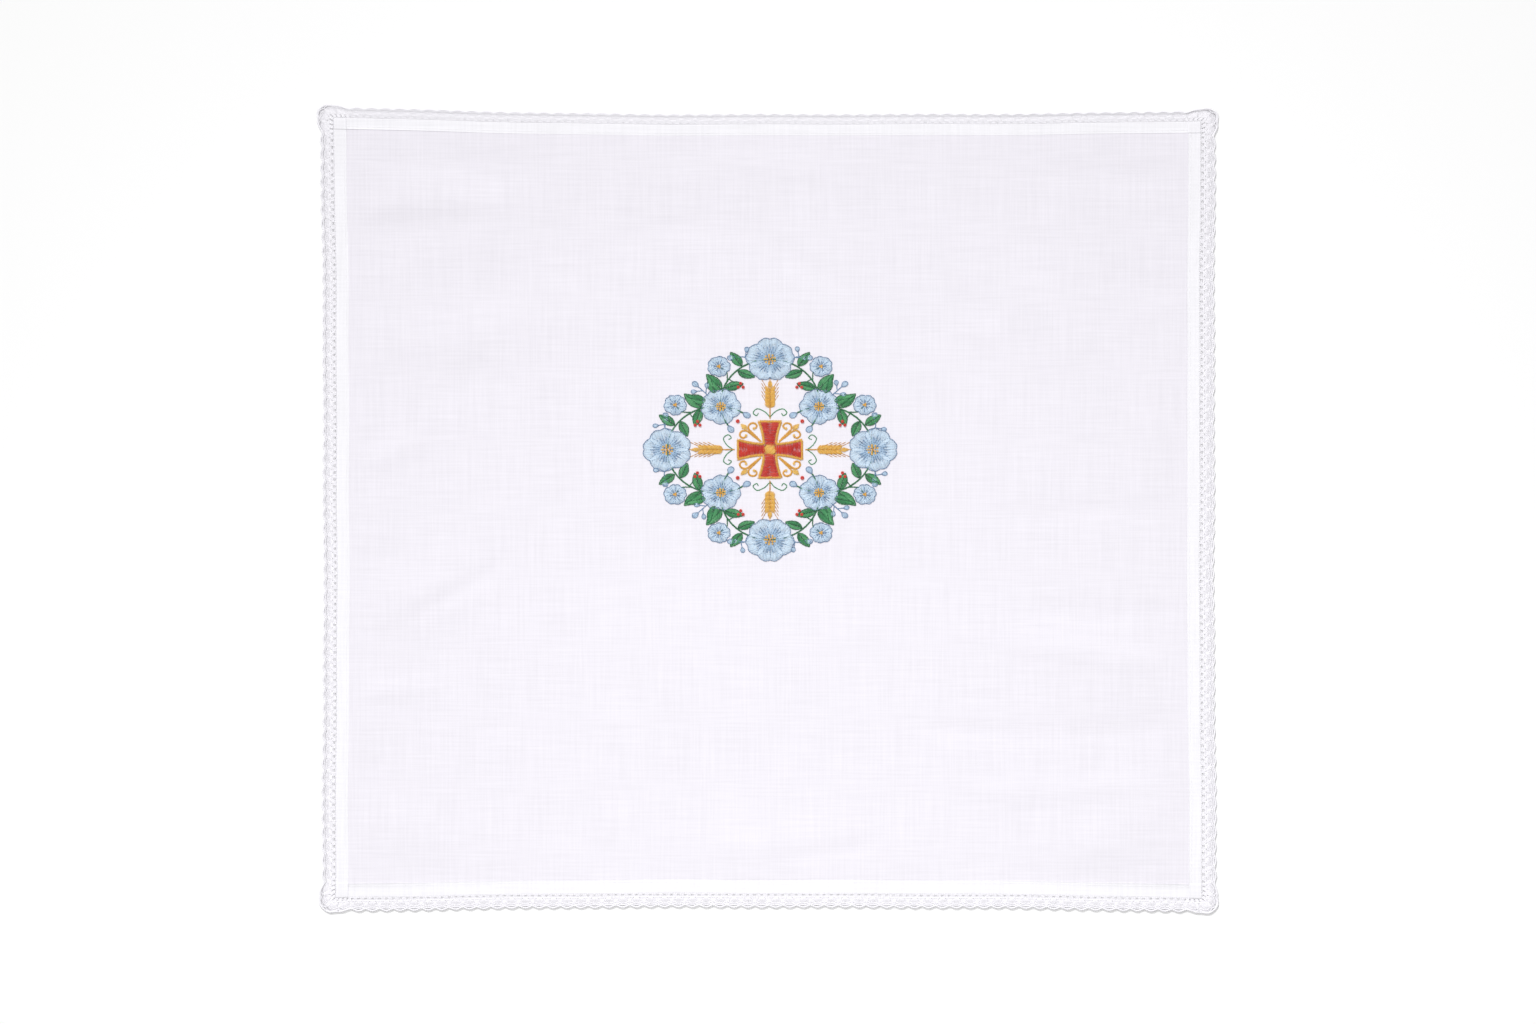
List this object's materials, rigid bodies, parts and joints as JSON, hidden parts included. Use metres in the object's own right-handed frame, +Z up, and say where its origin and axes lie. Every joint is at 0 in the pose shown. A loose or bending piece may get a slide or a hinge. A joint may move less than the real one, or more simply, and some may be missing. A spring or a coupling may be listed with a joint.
{
  "type": "altar corporal",
  "caption": "Flat white linen altar cloth with a plain turned hem, a narrow scalloped lace edging and an embroidered motif above the middle, lying flat.",
  "frame": {"origin": "on the surface the cloth lies on, under the middle of its outline over the lace", "axes": "+X along the long side, +Y towards the upper edge, the one nearer the motif, +Z up"},
  "size_m": [0.5006, 0.4492, 0.0022],
  "materials": {
    "linen": "matte plain weave",
    "lace": "soft crocheted cotton",
    "thread_blue": "satin stitch",
    "thread_green": "satin stitch",
    "thread_gold": "satin stitch",
    "thread_red": "satin stitch"
  },
  "bodies": {
    "root": {"linen_panel": "linen", "lace_edging": "lace"}
  },
  "joints": []
}
